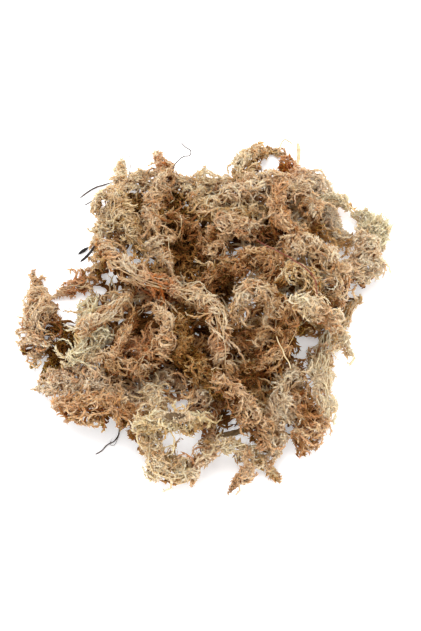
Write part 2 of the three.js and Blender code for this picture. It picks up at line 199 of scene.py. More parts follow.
# Flatness of each bit of bark, ridges round it, bare wood, and thickness as a share of its solid's
BARK_LOOK = {
    "twig": (1.0, 5, 0.7, 1.0),
    "bark_flake": (0.85, 5, 0.1, 1.0),
    "bark_splinter": (0.5, 3, 0.0, 0.72),
}
BED_BRANCHES, BED_DEPTH = 45, 0.4  # under the flake of bark
# The loose sliver of charred bark: its ends and its greatest width
SLIVER_START, SLIVER_END, SLIVER_WIDTH = (-74.6, 36.6, 0.9), (-68.6, 41.2, 1.1), 1.9
# Things too thin for a solid: slot, thickness, and the places each passes through
THREADS = {
    "west_wire": (WIRY, 0.9, (
        (-74.6, 73.7, 0.5), (-71.8, 76.3, 0.5), (-68.4, 78.9, 0.6), (-64.9, 80.9, 0.7),
        (-60.9, 82.0, 1.0), (-55.6, 83.4, 2.0))),
    "fork_arm": (STRAW, 0.75, (
        (50.3, 108.5, 2.0), (48.0, 110.2, 2.5), (45.3, 111.5, 3.0), (43.1, 109.0, 3.0),
        (41.5, 104.0, 2.5), (40.6, 99.2, 2.0))),
    "stalk_loop": (WIRY, 0.3, (
        (-47.6, -71.0, 1.0), (-49.6, -77.0, 0.8), (-51.2, -79.8, 0.8), (-53.4, -79.3, 0.8),
        (-52.6, -76.4, 0.8))),
    "left_hair": (WIRY, 0.16, (
        (-94.6, 17.9, 12.0), (-89.8, 5.4, 16.0), (-84.0, 9.5, 14.0), (-80.9, 12.9, 12.0))),
    "hollow_hair": (WIRY, 0.16, (
        (-79.7, -5.0, 12.0), (-76.8, -3.5, 14.0), (-74.0, -0.8, 16.0))),
    "right_hair": (STRAW, 0.18, (
        (63.9, -26.3, 20.0), (70.4, -25.4, 22.0), (75.3, -24.8, 22.0), (80.5, -22.7, 20.0))),
    "north_loop": (WIRY, 0.35, (
        (-50.8, 91.1, 20.0), (-46.9, 90.6, 22.0), (-44.4, 86.6, 22.0), (-44.9, 81.2, 20.0),
        (-46.1, 76.0, 17.0))),
    "north_curl": (WIRY, 0.4, (
        (-34.6, 79.5, 16.0), (-34.0, 81.6, 18.0), (-30.6, 83.6, 18.0), (-26.1, 82.8, 16.0))),
    "dark_twiglet": (WIRY, 0.6, (
        (10.8, -68.7, 4.0), (16.3, -69.7, 5.0), (20.1, -71.4, 5.0), (21.7, -75.9, 3.0))),
}


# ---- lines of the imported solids
def merged_tube(node):
    """Corners and triangles of a packed tube, with the corners that coincide made one."""
    mesh = frame["nodes"][node].data
    spots = np.zeros(len(mesh.vertices) * 3)
    mesh.vertices.foreach_get("co", spots)
    corners = np.zeros(len(mesh.loops), int)
    mesh.loops.foreach_get("vertex_index", corners)
    spots = np.round(spots.reshape(-1, 3) / MM, 3)
    kept, place = np.unique(spots, axis=0, return_inverse=True)
    return kept, place.reshape(-1)[corners].reshape(-1, 3)


def ring_numbers(count, triangles):
    """Ring that each corner of a tube is on, counted in edges from one tip. A corner is a tip
    if, counted from it, every ring between the first and last holds as many."""
    linked = np.zeros((count, count), np.float32)
    for one, other in ((0, 1), (1, 2), (2, 0)):
        linked[triangles[:, one], triangles[:, other]] = 1
        linked[triangles[:, other], triangles[:, one]] = 1
    reached = np.eye(count, dtype=bool)
    rings = np.zeros((count, count), int)
    while not reached.all():
        rings += ~reached
        reached |= (reached.astype(np.float32) @ linked) > 0
    for row in rings:
        sizes = np.bincount(row)
        if sizes[0] == 1 and sizes[-1] == 1 and (sizes[1:-1] == sizes[1]).all():
            return row
    raise ValueError("a packed solid isn't a plain tube")


def smooth_line(points, parts=8):
    """Catmull-Rom curve through the points: cubics, cut into equal parts, whose ends have the slope
    of the chord between their neighbours."""
    padded = np.concatenate([2 * points[:1] - points[1:2], points, 2 * points[-1:] - points[-2:-1]])
    before, start, end, after = (padded[k:len(padded) - 3 + k, None] for k in range(4))
    t = (np.arange(parts) / parts)[None, :, None]
    cubic = 0.5 * (2 * start + (end - before) * t
                   + (2 * before - 5 * start + 4 * end - after) * t ** 2
                   + (3 * start - before - 3 * end + after) * t ** 3)
    return np.concatenate([cubic.reshape(-1, points.shape[1]), points[-1:]])


def unit(vectors):
    """The same directions, one long."""
    return vectors / np.maximum(np.linalg.norm(vectors, axis=-1, keepdims=True), 1e-9)


class Line:
    """Middle line of a packed tube, its radius, and the directions sideways and up across it."""

    def __init__(self, node):
        corners, triangles = merged_tube(node)
        ring = ring_numbers(len(corners), triangles)
        share = 1 / np.bincount(ring)
        middle = np.stack([np.bincount(ring, corners[:, k]) * share for k in range(3)], 1)
        away = np.linalg.norm(corners - middle[ring], axis=1)
        radius = np.bincount(ring, away) * share
        curve = smooth_line(np.concatenate([middle, radius[:, None]], 1))
        steps = np.linalg.norm(np.diff(curve[:, :3], axis=0), axis=1)
        along = np.concatenate([[0], np.cumsum(steps)])
        self.length = along[-1]
        self.at = np.linspace(0, self.length, max(8, int(self.length)))
        self.middle = np.stack([np.interp(self.at, along, curve[:, k]) for k in range(3)], 1)
        self.radius = np.maximum(np.interp(self.at, along, curve[:, 3]), 0.05)
        self.forward = unit(np.gradient(self.middle, axis=0))
        self.side = unit(np.cross(self.forward, UPWARDS))
        self.up = np.cross(self.side, self.forward)
        self.outline = TURN * self.radius.mean() * self.length

    def value(self, what, s):
        """Any of the line's values at distances s along it."""
        table = getattr(self, what)
        if table.ndim == 1:
            return np.interp(s, self.at, table)
        return np.stack([np.interp(s, self.at, table[:, k]) for k in range(3)], -1)

    def place(self, s, turn, out):
        """Points at distance out from the line at s, turned from sideways towards up. Past an
        end, the line goes straight on."""
        kept = np.clip(s, 0, self.length)
        across = (np.cos(turn)[..., None] * self.value("side", kept)
                  + np.sin(turn)[..., None] * self.value("up", kept))
        return (self.value("middle", kept) + (s - kept)[..., None] * self.value("forward", kept)
                + out[..., None] * across)


class Heap:
    """All shoots together: what lies over a point, and how high a loose branch comes to lie."""

    def __init__(self, lines):
        self.middle = np.concatenate([line.middle[::2] for line in lines])
        self.radius = np.concatenate([line.radius[::2] for line in lines])
        self.survey()

    def offsets(self, points):
        """Steps along x and along y from each place on the shoots to each point."""
        return [points[..., None, axis] - self.middle[:, axis] for axis in (0, 1)]

    def away(self, points):
        """Distance in plan from each point to each place along the shoots."""
        across, along = self.offsets(points)
        return np.sqrt(across ** 2 + along ** 2)

    def covers(self, points):
        """Whether the upper part of a shoot lies over each point."""
        near = self.away(points) < 0.8 * self.radius
        above = self.middle[:, 2] > points[..., None, 2] + 0.25 * self.radius
        return (near & above).any(-1)

    def surrounds(self, points, reach):
        """Whether a shoot is within reach of each point in every one of eight directions."""
        across, along = self.offsets(points)
        near = np.hypot(across, along) < reach
        eighth = np.floor(np.arctan2(along, across) / (TURN / 8)).astype(int) % 8
        return np.stack([(near & (eighth == k)).any(-1) for k in range(8)]).all(0)

    def survey(self):
        """Height of the heap on a grid, averaged over a bell curve: the level that hollows lie
        under."""
        self.corner = self.middle[:, :2].min(0) - MARGIN
        spans = np.ptp(self.middle[:, :2], 0) + 2 * MARGIN
        across, along = (np.arange(0, span, GRID) for span in spans)
        rows = []
        for y in along + self.corner[1]:
            rows.append(self.height(np.stack([across + self.corner[0], np.full(len(across), y)], 1)))
        level = np.stack(rows, 1)
        reach = np.arange(-3 * LEVEL_WIDTH, 3 * LEVEL_WIDTH + GRID, GRID)
        bell = np.exp(-0.5 * (reach / LEVEL_WIDTH) ** 2)
        bell /= bell.sum()
        for axis in (0, 1):
            level = np.apply_along_axis(np.convolve, axis, level, bell, "same")
        self.level = level

    def hollow(self, points):
        """How far each point lies under the general level, mixed from the grid's corners."""
        at = (points[..., :2] - self.corner) / GRID
        low = np.clip(at.astype(int), 0, np.array(self.level.shape) - 2)
        i, j = np.moveaxis(low, -1, 0)
        u, v = np.moveaxis(np.clip(at - low, 0, 1), -1, 0)
        level = ((1 - u) * (1 - v) * self.level[i, j] + u * (1 - v) * self.level[i + 1, j]
                 + (1 - u) * v * self.level[i, j + 1] + u * v * self.level[i + 1, j + 1])
        return level - points[..., 2]

    def height(self, points):
        """Highest top of a shoot over each point: a half circle across it that goes on outwards as
        a slope of SAG."""
        away = self.away(points)
        inside = np.sqrt(np.maximum(self.radius ** 2 - away ** 2, 0))
        rim = np.where(away < self.radius, inside, -SAG * (away - self.radius))
        return np.maximum((self.middle[:, 2] + rim).max(-1), LEAST_TOP)


# ---- surfaces
def added(name, data):
    """A new object, put into the scene."""
    thing = bpy.data.objects.new(name, data)
    bpy.context.scene.collection.objects.link(thing)
    return thing


def fill(rows, key, values, kind=np.float32):
    """Sets one property of all rows of a mesh's data."""
    rows.foreach_set(key, values.astype(kind).reshape(-1))


def frames_along(paths):
    """Forward, across and over directions at each point of many paths. The across direction is
    carried on with its forward part taken out, so it turns no more than the path does."""
    forward = unit(np.gradient(paths, axis=1))
    across = np.zeros_like(paths)
    across[:, 0] = unit(np.cross(forward[:, 0], ODD_WAY))
    for k in range(1, paths.shape[1]):
        along = (across[:, k - 1] * forward[:, k]).sum(-1, keepdims=True) * forward[:, k]
        across[:, k] = unit(across[:, k - 1] - along)
    return forward, across, np.cross(forward, across)


def tube_corners(steps, sides):
    """Triangles of one closed tube, numbered ring by ring and then the two tips, and the place of
    each of their corners on a unit square."""
    ring, side = (grid.reshape(-1, 1) for grid in np.indices((steps, sides)))
    numbers, layout = [], []
    for ahead, beside in (((0, 0, 1), (0, 1, 1)), ((0, 1, 1), (0, 1, 0))):
        numbers.append((ring + ahead) * sides + (side + beside) % sides)
        layout.append(np.stack([(side + beside) / sides, (ring + ahead) / steps], -1))
    rim, last, edge = np.arange(sides)[:, None], steps * sides, 0.5 / steps
    for tip, first, beside, levels in (
            (last + sides, 0, (1, 0), (0, edge, edge)),
            (last + sides + 1, last, (0, 1), (1, 1 - edge, 1 - edge))):
        numbers.append(np.insert(first + (rim + beside) % sides, 0, tip, 1))
        across = np.concatenate([rim + 0.5, rim + beside], 1) / sides
        layout.append(np.stack([across, np.broadcast_to(levels, across.shape)], -1))
    return np.concatenate(numbers), np.concatenate(layout)


def tubes(paths, radii, sides, directions=None):
    """Closed tubes round many paths: every ring is a circle across the path, of one radius or of
    one for each side, and each end is drawn out to a point half a radius further on."""
    forward, across, over = directions or frames_along(paths)
    if radii.ndim == 2:
        radii = np.repeat(radii[:, :, None], sides, 2)
    turn = (TURN * np.arange(sides) / sides)[:, None]
    spoke = np.cos(turn) * across[:, :, None] + np.sin(turn) * over[:, :, None]
    rings = paths[:, :, None] + radii[..., None] * spoke
    tail = paths[:, :1] - 0.5 * radii[:, :1, :1] * forward[:, :1]
    tip = paths[:, -1:] + 0.5 * radii[:, -1:, :1] * forward[:, -1:]
    return np.concatenate([rings.reshape(len(paths), -1, 3), tail, tip], 1)


LEAF_FACES = np.array([[0, 3, 2], [1, 2, 3], [0, 2, 1], [0, 1, 3]])
LEAF_UV = np.array([[[0, 0], [0.5, 1], [0.5, 0.4]], [[1, 0], [0.5, 0.4], [0.5, 1]],
                    [[0, 0], [0.5, 0.4], [1, 0]], [[0, 0], [1, 0], [0.5, 1]]])


def leaves(paths, radii, directions, girth, rng, spread):
    """Pointed keeled leaves round many branches, each a thin solid of four triangles: two corners
    on the branch, a raised keel ahead of them, and a tip, tilted outwards by the spread."""
    count, points = paths.shape[:2]
    at = np.linspace(0.03, 0.95, LEAVES) * (points - 1)
    low = np.minimum(at.astype(int), points - 2)
    mix = (at - low)[None, :, None]

    def blend(values):
        return values[:, low] * (1 - mix) + values[:, low + 1] * mix

    forward, across, over = (unit(blend(part)) for part in directions)
    foot_radius = blend(radii[:, :, None])
    turn = (LEAF_STEP * np.arange(LEAVES)[None] + rng.uniform(0, TURN, (count, 1))
            + rng.normal(0, 0.25, (count, LEAVES)))[..., None]
    out = np.cos(turn) * across + np.sin(turn) * over
    width = np.cross(forward, out)
    tilt = (spread + rng.normal(0, 0.13, (count, LEAVES)))[..., None]
    size = (girth * rng.uniform(0.75, 1.2, (count, LEAVES)))[..., None]
    size = size * (1 - 0.35 * (at / (points - 1)) ** 2)[None, :, None]
    ahead = np.cos(tilt) * forward + np.sin(tilt) * out
    foot = blend(paths) + 0.8 * foot_radius * out
    half = 0.5 * LEAF_WIDTH * size * width
    keel = foot + KEEL_PLACE * LEAF_LENGTH * size * ahead + KEEL_HEIGHT * LEAF_WIDTH * size * out
    tip = foot + LEAF_LENGTH * size * ahead
    corners = np.stack([foot + half, foot - half, keel, tip], 2)
    return corners.reshape(count * LEAVES, 4, 3), at / (points - 1)


class Growth:
    """Gathers the solids of one piece, and makes its mesh object."""

    def __init__(self, expected=1):
        self.parts = []
        self.total = self.cell = 0
        self.across = math.ceil(math.sqrt(expected))

    def cells(self, count):
        """Low corners and size of the next squares of a grid over the unit square."""
        number = self.cell + np.arange(count)
        self.cell += count
        corner = np.stack([number % self.across, number // self.across], 1) / self.across
        return corner[:, None, None, :], 0.94 / self.across

    def add(self, points, faces, flat, tone, rust, smooth=True):
        """Many solids of one layout: faces and flat for one of them or for each, tone and rust for
        every point."""
        solids, each = points.shape[:2]
        offset = self.total + each * np.arange(solids)[:, None, None]
        layers = [np.broadcast_to(layer, (solids, each)).reshape(-1) for layer in (tone, rust)]
        self.parts.append((points.reshape(-1, 3), (faces[None] + offset).reshape(-1, 3),
                           flat.reshape(-1, 3, 2), *layers, np.full(solids * len(faces), smooth)))
        self.total += solids * each

    def add_tubes(self, paths, radii, sides, tone, rust, directions=None, narrow=1.0):
        """Closed tubes, each on a square of its own, with tone and rust for each ring."""
        faces, flat = tube_corners(paths.shape[1] - 1, sides)
        corner, size = self.cells(len(paths))
        layers = []
        for values in (tone, rust):
            rings = np.repeat(np.broadcast_to(values, paths.shape[:2]), sides, 1)
            layers.append(np.concatenate([rings, rings[:, :1], rings[:, -1:]], 1))
        self.add(tubes(paths, radii, sides, directions), faces,
                 corner + size * flat[None] * [narrow, 1.0], *layers)
        return corner, size

    def make(self, name, material):
        """The mesh object of everything gathered, at the origin, in metres."""
        points, triangles, flat, tone, rust, smooth = map(np.concatenate, zip(*self.parts))
        points[:, 2] = np.maximum(points[:, 2], LOWEST)
        mesh = bpy.data.meshes.new(name)
        mesh.vertices.add(len(points))
        mesh.loops.add(triangles.size)
        mesh.polygons.add(len(triangles))
        fill(mesh.vertices, "co", points * MM)
        fill(mesh.loops, "vertex_index", triangles, np.int32)
        fill(mesh.polygons, "loop_start", np.arange(0, triangles.size, 3), np.int32)
        fill(mesh.polygons, "use_smooth", smooth, bool)
        for label, values in (("tone", tone), ("rust", rust)):
            fill(mesh.attributes.new(label, "FLOAT", "POINT").data, "value", values)
        fill(mesh.uv_layers.new(name="OFBake").data, "uv", flat)
        mesh.update(calc_edges=True)
        mesh.materials.append(material)
        return added(name, mesh)


# ---- moss shoots
def lumpy(s, turn, phases):
    """Uneven swelling of an outline: one plus a slow wave along it for each of LUMPS, the first
    once round it, the second twice and the third three times."""
    swell = np.ones(np.broadcast(s, turn).shape)
    for rounds, (wave, phase) in enumerate(zip(LUMPS, phases), 1):
        swell = swell + LUMP_SHARE * np.cos(TURN * s / wave + rounds * turn + phase)
    return swell


def foot_places(line, rng, locks):
    """Distances along the shoot at which locks leave it, spread as its outline is wide."""
    wide = np.cumsum(line.radius + 1.0)
    wide = (wide - wide[0]) / (wide[-1] - wide[0])
    share = (np.arange(locks) + rng.uniform(0.1, 0.9, locks)) / locks
    return np.interp(share, wide, line.at)


def winding_paths(line, habit, rng, count, phases):
    """Middle lines of branches that wind over their own shoot, how far out and how high up on it
    each place lies, and a mood for each lock.

    A lock's branches share one course. Locks are spaced by the golden angle round the stem, and
    their headings follow slow waves over the outline, so neighbours run alike. A branch starts near
    the stem, rises to the outline, and walks over it: its heading turns faster and faster, and it
    rises and falls as a wave."""
    locks = max(1, -(-count // LOCK))
    which = np.repeat(np.arange(locks), LOCK)[:count]
    rank = np.tile(np.arange(LOCK) - (LOCK - 1) / 2, locks)[:count]
    mood = rng.normal(0, 1, locks)[which]
    tuft = (rng.uniform(size=locks) < habit["tufts"])[which]
    s = foot_places(line, rng, locks)
    turn = GOLDEN_ANGLE * np.arange(locks) + rng.uniform(0, TURN)
    radius = line.value("radius", s)
    flow = sum(size * np.cos(TURN * s / wave + way * turn + phase)
               for (wave, way, size), phase in zip(FLOW, phases))
    lean = np.clip(habit["lean"] + rng.normal(0, 0.12, locks), 0, 1)
    swing = np.where(rng.uniform(size=locks) < 0.75, 1.0, -1.0)
    way = np.where(rng.uniform(size=locks) < 0.85, 1.0, -1.0)
    heading = np.arctan2(swing * np.sqrt(1 - lean ** 2), way * lean) + flow
    wind = habit["wind"] * rng.uniform(0.25, 1.1, locks) * rng.choice([-1.0, 1.0], locks)
    length = np.minimum(habit["length"], SHORTEST + LONGER * radius) * rng.uniform(0.65, 1.3, locks)
    phase = rng.uniform(0, TURN, locks)
    share = rng.uniform(0.78, 1.04, locks)
    s, turn, radius, heading, wind, length, phase, share = (
        values[which] for values in (s, turn, radius, heading, wind, length, phase, share))
    beside = LOCK_STEP * rank
    s = s - beside * np.sin(heading) + rng.normal(0, 0.4, count)
    turn = turn + (beside * np.cos(heading) + rng.normal(0, 0.4, count)) / np.maximum(radius, 1.5)
    heading = heading + rng.normal(0, 0.13, count)
    wind = wind * (1 + rng.normal(0, 0.12, count))
    length = length * rng.uniform(0.75, 1.1, count)
    share = share + rng.normal(0, 0.05, count) + tuft * rng.uniform(0.1, 0.5, count)
    out = 0.3 * radius
    step = length / LEAFY_STEPS
    path, outs, facing = [line.place(s, turn, out)], [out], [np.sin(turn)]
    for t in (np.arange(LEAFY_STEPS) + 0.5) / LEAFY_STEPS:
        risen = min(1.0, t / RISING)
        lift = RISE_ANGLE * (1 - risen) + habit["wave"] * risen * np.sin(1.5 * TURN * t + phase)
        ahead = heading + wind * t ** 1.5
        flat = step * np.cos(lift)
        s = s + flat * np.cos(ahead)
        turn = turn + flat * np.sin(ahead) / np.maximum(out, 1.3)
        rim = np.maximum(line.value("radius", s), 1.2) * share * lumpy(s, turn, phases)
        out = out + step * np.sin(lift)
        out = np.maximum(out + HOLD * risen * (rim - out), 0.2)
        path.append(line.place(s, turn, out))
        outs.append(out)
        facing.append(np.sin(turn))
    depth = np.stack(outs, 1) / np.maximum(radius, 1.0)[:, None]
    return np.stack(path, 1), depth, np.stack(facing, 1), mood


def walk(start, ahead, step):
    """Places in plan that steps along many headings come to, one after the other."""
    return start[:, None] + np.cumsum(np.stack([step * np.cos(ahead), step * np.sin(ahead)], -1), 1)


def straying_paths(line, habit, rng, count, heap, phases):
    """Middle lines of branches that leave the upper side of their shoot: they bend in plan, and
    their height goes over from the shoot's own to that of the heap."""
    s = foot_places(line, rng, count)
    turn = rng.uniform(0.05, 0.95, count) * np.pi
    start = line.place(s, turn, 0.75 * line.value("radius", s) * lumpy(s, turn, phases))
    length = habit["length"] * rng.uniform(0.7, 1.6, count)
    heading = rng.uniform(0, TURN, count)
    wind = habit["wind"] * rng.uniform(0.2, 1.0, count) * rng.choice([-1.0, 1.0], count)
    step = (length / LEAFY_STEPS)[:, None]
    t = LEAFY_PLACES
    ahead = heading[:, None] + wind[:, None] * t ** 1.5
    plan = np.concatenate([start[:, None, :2], walk(start[:, :2], ahead[:, :-1], step)], 1)
    above = rng.uniform(-1.2, 1.2, (count, 1)) + 0.8 * np.sin(TURN * t + heading[:, None])
    high = heap.height(plan) + above
    gone = step * LEAFY_STEPS * t
    high = np.clip(high, start[:, 2:] - DROOP * gone, start[:, 2:] + CLIMB * gone)
    own = np.minimum(1, 3 * t)
    high = start[:, 2:] * (1 - own) + high * own
    for _ in range(2):
        high[:, 1:-1] = (high[:, :-2] + 2 * high[:, 1:-1] + high[:, 2:]) / 4
    return np.concatenate([plan, high[..., None]], 2)


def within_heap(paths, heap, most):
    """Whether each path stays near enough to a shoot, in plan, or has shoots all round it, and
    keeps out of the gaps through which the ground shows."""
    beyond = (heap.away(paths) - heap.radius).min(-1)
    amid = (beyond < BESIDE).all(1) & heap.surrounds(paths[:, -1], ROUND_REACH)
    clear = (beyond < most).all(1) | amid
    for place in GAPS:
        clear &= ~((radii_off(paths, *place) < 1) & (paths[..., 2] < GAP_HEIGHT)).any(1)
    return clear


def stem_paths(line, rng, number):
    """Stems inside the outline: each keeps to a share of the radius and turns slowly round the
    middle line."""
    points = max(6, int(line.length / 2.2))
    s = np.linspace(0.02, 0.98, points)[None] * line.length
    radius = line.value("radius", s)
    share = rng.uniform(0.1, 0.4, (number, 1)) if number > 1 else np.full((1, 1), 0.12)
    turn = rng.uniform(0, TURN, (number, 1)) + rng.uniform(-0.05, 0.05, (number, 1)) * s
    return line.place(np.repeat(s, number, 0), turn, share * radius)


def fibre_paths(line, rng, count, phases):
    """Long bare stems over a shoot's upper side: each follows a stretch of its outline, and
    swings round it as a slow wave."""
    stretch = line.length * rng.uniform(0.3, 0.85, (count, 1))
    start = (line.length - stretch) * rng.uniform(0, 1, (count, 1))
    t = np.linspace(0, 1, FIBRE_STEPS + 1)[None]
    s = start + stretch * t
    phase = rng.uniform(0, TURN, (count, 1))
    turn = rng.uniform(0.15, 0.85, (count, 1)) * np.pi
    turn = turn + FIBRE_TURN * np.sin(TURN * rng.uniform(0.5, 1.6, (count, 1)) * t + phase)
    ripple = 1 + 0.1 * np.sin(TURN * rng.uniform(1, 4, (count, 1)) * t + 2 * phase)
    return line.place(s, turn, line.value("radius", s) * lumpy(s, turn, phases) * ripple)


def branch_radii(t, radius):
    """A branch swells from a thin foot, keeps its width and tapers to a fine tip."""
    swell = np.minimum(1, 0.45 + 4 * t)
    taper = 1 - 0.75 * np.clip((t - 0.55) / 0.45, 0, 1) ** 1.5
    return radius * swell * taper


def radii_off(points, x, y, radius):
    """Square of the distance in plan from a place to each point, counted in its radii."""
    return ((points[..., 0] - x) ** 2 + (points[..., 1] - y) ** 2) / radius ** 2


def spots_of_rust(paths):
    """Strength of the iron stains at each branch: a bell curve round each spot, added up."""
    middle = paths[:, paths.shape[1] // 2]
    return sum(most * np.exp(-radii_off(middle, *place)) for *place, most in RUST_SPOTS)


def painted_hollow_shade(tone, points, under):
    """Tone drawn towards the painted shade of the hollows: by a bell curve round each place, of which
    the strongest counts, and that comes in from 6 mm above the heap's level to 2 mm under it."""
    strength = np.max([np.exp(-radii_off(points, *place)) for place in PAINTED_SHADE_HOLLOWS], 0)
    return tone + (HOLLOW_PAINTED_SHADE_TONE - tone) * HOLLOW_PAINTED_SHADE_SHARE * strength * np.clip((under + 6) / 8, 0, 1)


def clothe(growth, paths, tone, rust, bare, spread, rng, bare_radius=BARE_RADIUS):
    """Adds branches along the paths: leafy ones, or bare ones with fewer steps."""
    girth = rng.uniform(0.72, 1.35, (len(paths), 1))
    t = np.linspace(0, 1, paths.shape[1])[None]
    paths[..., 2] = np.maximum(paths[..., 2], FLOOR_CLEAR + CORE_RADIUS * girth)
    every = np.arange(paths.shape[1])
    fewer = np.linspace(0, every[-1], BARE_STEPS + 1).round().astype(int)
    for leafy, steps, radius in ((True, every, CORE_RADIUS), (False, fewer, bare_radius)):
        chosen = bare != leafy
        if not chosen.any():
            continue
        some, shade, wide = paths[chosen][:, steps], tone[chosen][:, steps], girth[chosen]
        radii = branch_radii(t[:, steps], radius) * wide
        rough = rng.normal(1, ROUGH, radii.shape + (BRANCH_SIDES,))
        directions = frames_along(some)
        corner, size = growth.add_tubes(some, radii[..., None] * rough, BRANCH_SIDES, shade,
                                        rust[chosen, None], directions, 0.5)
        if leafy:
            blades, at = leaves(some, radii, directions, wide, rng, spread)
            band = np.stack([np.full(LEAVES, 0.55), at * 0.92], -1)[None, :, None, None, :]
            flat = corner[:, None] + size * (band + LEAF_UV[None, None] * [0.4, 0.07])
            own = np.stack([np.interp(at, t[0], row) for row in shade])
            own = (own + rng.normal(0, 0.03, own.shape)).reshape(-1, 1) + np.array([LEAF_SHIFTS])
            stain = np.repeat(rust[chosen], LEAVES)[:, None]
            growth.add(blades, LEAF_FACES, flat, own, stain, False)


def shoot_piece(line, heap, habit, rng, shift):
    """One moss shoot: its stems, its clothing of branches, and the long fibres over it."""
    count = max(8, int(habit["cover"] * line.outline / (habit["length"] * BRANCH_WIDTH)))
    strays = int(habit["strays"] * count)
    stems = 1 if line.radius.max() < TWO_STEM_RADIUS else 2
    fibres = habit["stems"]
    growth = Growth(count + stems + fibres + 4)
    phases = rng.uniform(0, TURN, len(LUMPS))

    paths = stem_paths(line, rng, stems)
    outline = line.value("radius", np.linspace(0, line.length, paths.shape[1]))
    radii = np.tile(np.minimum(STEM_RADIUS, 0.5 * outline), (stems, 1))
    growth.add_tubes(paths, radii, STEM_SIDES, STEM_TONE + shift, 0.1)

    own, depth, facing, mood = winding_paths(line, habit, rng, count - strays, phases)
    loose = straying_paths(line, habit, rng, strays, heap, phases)
    loose = loose[within_heap(loose, heap, rng.uniform(1.5, 4.5, (strays, 1)))]
    paths = np.concatenate([own, loose])
    ones = np.ones((len(loose), LEAFY_STEPS + 1))
    depth, facing = np.concatenate([depth, ones]), np.concatenate([facing, ones])
    mood = np.concatenate([mood, rng.normal(0.3, 1, len(loose))])
    middle = paths[:, LEAFY_STEPS // 2]
    bare = heap.covers(middle)
    bare[len(own):] &= heap.hollow(middle[len(own):]) > DEEP
    kept = ~bare | (rng.uniform(size=len(paths)) < (0.4 if fibres else 0.7))
    under = np.clip(heap.hollow(paths), *UNDER_RANGE)
    # Painted shade: darker under the heap's level, under other shoots, in hollows and, partly, inside
    # the outline. Painted light: paler on the upper side.
    tone = SHOOT_TONE + shift + LOCK_SHIFT * mood[:, None] - UNDER_PAINTED_SHADE * under
    tone = tone - COVERED_PAINTED_SHADE * bare[:, None] + FACING_PAINTED_LIGHT * (facing - 0.6)
    tone = painted_hollow_shade(tone, paths, under)
    tone = tone + rng.normal(0, 0.02, (len(paths), 1)) + TIP_SHIFT * (LEAFY_PLACES - 0.4)
    tone = tone - INSIDE_AGE_AND_PAINTED_SHADE * np.clip(0.75 - depth, 0, 1)
    rust = rng.uniform(-0.3, 0.38, len(paths)) + 0.15 * (mood < -1.2)
    rust = np.maximum(rust, 0) + spots_of_rust(paths) * rng.uniform(0.4, 1.0, len(paths))
    rust = np.clip(rust, 0, 1)
    paths = paths + rng.normal(0, CRINKLE, paths.shape)
    clothe(growth, paths[kept], tone[kept], rust[kept], bare[kept], habit["spread"], rng)

    if fibres:
        paths = fibre_paths(line, rng, fibres, phases)
        radii = rng.uniform(0.15, 0.3, (fibres, 1)) * np.ones((1, FIBRE_STEPS + 1))
        pale = FIBRE_TONE + shift + rng.normal(0, 0.08, (fibres, 1))
        growth.add_tubes(paths, radii, FIBRE_SIDES, pale, 0.05)
    return growth


def head(growth, line, rng, count=HEAD_BRANCHES):
    """The tight head at a shoot's thick end: branches from its middle to an egg-shaped outline,
    spread over a ball by the golden angle. Those that point down are bare."""
    thick = line.middle[line.radius > 0.8 * line.radius.max()]
    centre = thick.mean(0)
    axis = unit(thick[-1] - thick[0])
    half_length = np.linalg.norm(thick[-1] - thick[0]) / 2 + HEAD_ENDS
    number = np.arange(count)
    level = 1 - (2 * number + 1) / count
    turn = GOLDEN_ANGLE * number + rng.normal(0, 0.1, count)
    across = unit(np.cross(axis, UPWARDS))
    over = np.cross(axis, across)
    wide = line.radius.max() + HEAD_SIDES
    ring = wide * np.sqrt(1 - level ** 2)
    reach = (ring * np.cos(turn))[:, None] * across + (ring * np.sin(turn))[:, None] * over
    reach = (reach + (half_length * level)[:, None] * axis) * rng.uniform(0.8, 1.12, (count, 1))
    t = LEAFY_PLACES[:, None]
    bend = rng.normal(0, 1.6, (count, 1, 3)) * t ** 2
    paths = centre + reach[:, None] * (0.12 + 0.88 * t) + bend
    tone = HEAD_TONE + 0.4 * LEAFY_PLACES + rng.normal(0, 0.05, (count, 1))
    bare = paths[:, -1, 2] < centre[2] - 0.6 * wide
    clothe(growth, paths, tone, np.zeros(count), bare, 0.6, rng)


def bark_bed(line, rng):
    """Leafy branches under a bit of bark: they wind as a mat's do, round a line that is lower than
    the bark's by its radius and BED_DEPTH."""
    growth = Growth(BED_BRANCHES)
    phases = rng.uniform(0, TURN, len(LUMPS))
    paths, _, facing, mood = winding_paths(line, HABITS["mat"], rng, BED_BRANCHES, phases)
    paths[..., 2] -= line.radius.max() + BED_DEPTH
    # Painted light: paler on the upper side of the bed's line.
    tone = BED_TONE + 0.1 * mood[:, None] + 0.15 * facing
    clothe(growth, paths, tone, np.zeros(len(paths)), np.zeros(len(paths), bool), 0.4, rng)
    return growth


def within_places(paths, places):
    """Whether each path starts and ends in the same one of the places, or just beside it."""
    ends = paths[:, (0, -1)]
    return np.any([(radii_off(ends, *place) < PLACE_EDGE ** 2).all(1) for place in places], 0)


